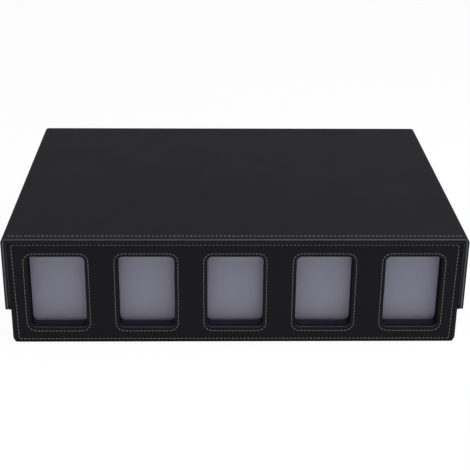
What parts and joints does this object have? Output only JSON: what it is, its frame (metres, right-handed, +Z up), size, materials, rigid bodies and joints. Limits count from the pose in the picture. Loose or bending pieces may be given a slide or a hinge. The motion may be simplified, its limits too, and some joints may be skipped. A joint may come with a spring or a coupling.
{
  "type": "trading card storage box",
  "caption": "Wide low box with upright card rows, a thick windowed front wall with display slots, and a lift-off three-sided lid open at the front.",
  "frame": {"origin": "centre of the box's footprint, on the surface it stands on", "axes": "+X to the right seen from the front, -Y towards the windowed front, +Z up; metres"},
  "size_m": [0.4516, 0.3374, 0.1129],
  "materials": {
    "cover_leather": "fine pebbled imitation leather, semi-matt",
    "board": "plain grey board",
    "velvet": "short-pile velvet, matt",
    "lid_lining": "dark short-pile lining, matt",
    "window_liner": "smooth dark lining strip",
    "clear_pane": "clear sheet",
    "thread": "grey sewing thread"
  },
  "bodies": {
    "tray": {"tray_front_cover": "cover_leather", "tray_wrap_cover": "cover_leather", "tray_base_cover": "cover_leather", "tray_floor_board": "board", "tray_left_board": "board", "tray_right_board": "board", "tray_back_board": "board", "front_window_frame": "board", "floor_lining": "velvet", "left_lining": "velvet", "right_lining": "velvet", "back_lining": "velvet", "window_liner_1": "window_liner", "window_liner_2": "window_liner", "window_liner_3": "window_liner", "window_liner_4": "window_liner", "window_liner_5": "window_liner", "window_pane_1": "clear_pane", "window_pane_2": "clear_pane", "window_pane_3": "clear_pane", "window_pane_4": "clear_pane", "window_pane_5": "clear_pane", "backer_board_1": "board", "backer_board_2": "board", "backer_board_3": "board", "backer_board_4": "board", "backer_board_5": "board", "backer_velvet_1": "velvet", "backer_velvet_2": "velvet", "backer_velvet_3": "velvet", "backer_velvet_4": "velvet", "backer_velvet_5": "velvet", "divider_board_1": "board", "divider_board_2": "board", "divider_board_3": "board", "divider_board_4": "board", "divider_velvet_1": "velvet", "divider_velvet_2": "velvet", "divider_velvet_3": "velvet", "divider_velvet_4": "velvet"},
    "lid": {"lid_cover": "cover_leather", "lid_top_board": "board", "lid_left_board": "board", "lid_right_board": "board", "lid_back_board": "board", "lid_top_lining": "lid_lining", "lid_left_lining": "lid_lining", "lid_right_lining": "lid_lining", "lid_back_lining": "lid_lining"}
  },
  "joints": [
    {"name": "lid_lift", "type": "slide", "parent": "tray", "child": "lid", "axis": [0, 0, 1], "range_m": [0, 0.12]}
  ]
}
